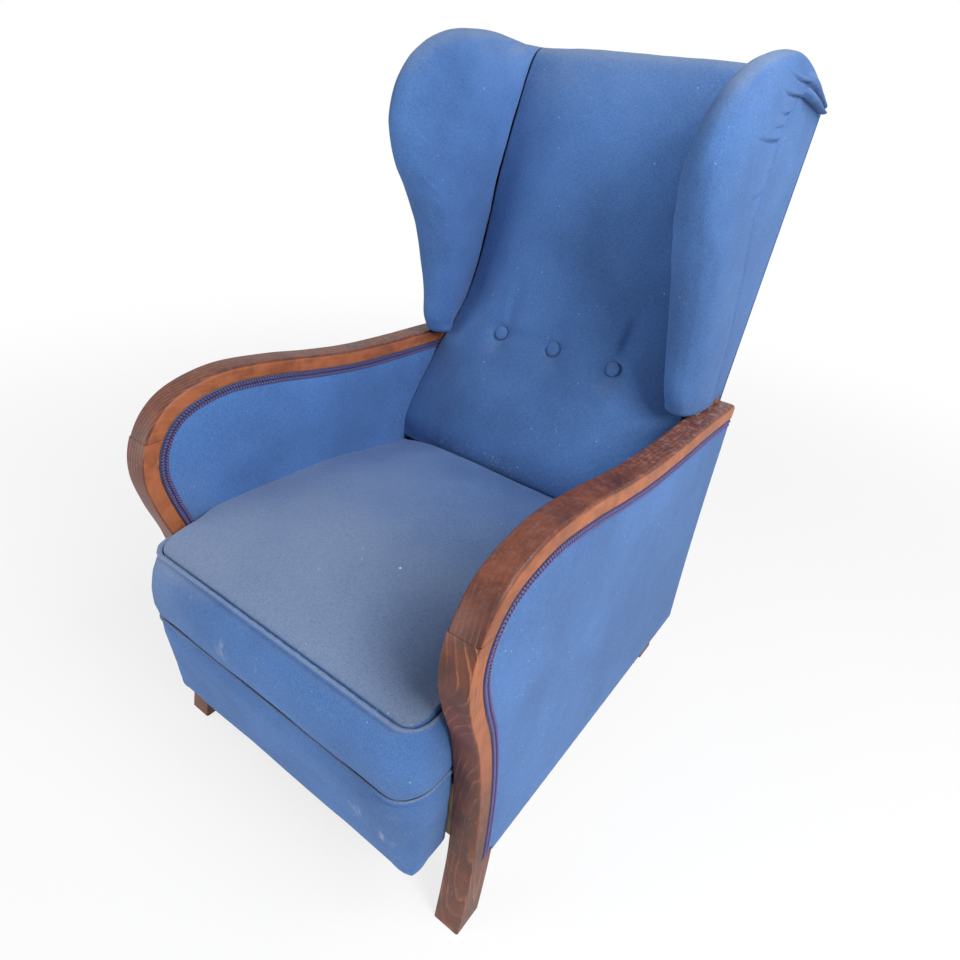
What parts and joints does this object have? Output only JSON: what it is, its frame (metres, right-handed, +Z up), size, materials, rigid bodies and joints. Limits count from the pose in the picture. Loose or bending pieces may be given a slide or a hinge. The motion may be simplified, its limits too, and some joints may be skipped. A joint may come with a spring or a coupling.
{
  "type": "fireside chair",
  "caption": "High-backed fireside chair with padded wings, curved wooden arms running into the front legs, a sprung seat with piped border and a buttoned back.",
  "frame": {"origin": "on the floor, below the middle of the chair's box", "axes": "+X to the right as seen from the front, -Y out of the chair's front, +Z up"},
  "size_m": [0.6096, 0.8968, 1.0615],
  "materials": {
    "show_wood": "stained beech, worn satin",
    "frame_wood": "raw beech, unfinished",
    "cover_cloth": "fine blue wool weave, slightly faded",
    "braid": "dark blue double-corded braid",
    "jute": "woven jute",
    "wadding": "cotton wadding and horsehair",
    "lining": "black cotton lining",
    "spring_steel": "oiled spring steel"
  },
  "bodies": {
    "root": {"arm_left": "show_wood", "arm_right": "show_wood", "front_leg_left": "show_wood", "front_leg_right": "show_wood", "back_post_left": "show_wood", "back_post_right": "show_wood", "rear_stile_left": "frame_wood", "rear_stile_right": "frame_wood", "front_rail": "frame_wood", "side_rail_left": "frame_wood", "side_rail_right": "frame_wood", "rear_rail": "frame_wood", "bottom_rail_left": "frame_wood", "bottom_rail_right": "frame_wood", "arm_rail_left": "frame_wood", "arm_rail_right": "frame_wood", "back_rail": "frame_wood", "crest_rail": "frame_wood", "wing_post_left": "frame_wood", "wing_post_right": "frame_wood", "wing_rail_left": "frame_wood", "wing_rail_right": "frame_wood", "corner_blocks": "frame_wood", "frame_dowels": "frame_wood", "seat_webbing": "jute", "seat_springs": "spring_steel", "edge_wire": "spring_steel", "spring_hessian": "jute", "seat_stuffing": "wadding", "seat_cover": "cover_cloth", "seat_piping": "cover_cloth", "front_border": "cover_cloth", "front_panel": "cover_cloth", "front_panel_piping": "cover_cloth", "dust_cover": "lining", "back_webbing": "jute", "back_stuffing": "wadding", "back_cover": "cover_cloth", "back_buttons": "cover_cloth", "outside_back": "cover_cloth", "wing_pad_left": "cover_cloth", "wing_pad_right": "cover_cloth", "wing_panel_left": "cover_cloth", "wing_panel_right": "cover_cloth", "inner_panel_left": "cover_cloth", "inner_panel_right": "cover_cloth", "outer_panel_left": "cover_cloth", "outer_panel_right": "cover_cloth", "inner_braid_left": "braid", "inner_braid_right": "braid", "outer_braid_left": "braid", "outer_braid_right": "braid"}
  },
  "joints": []
}
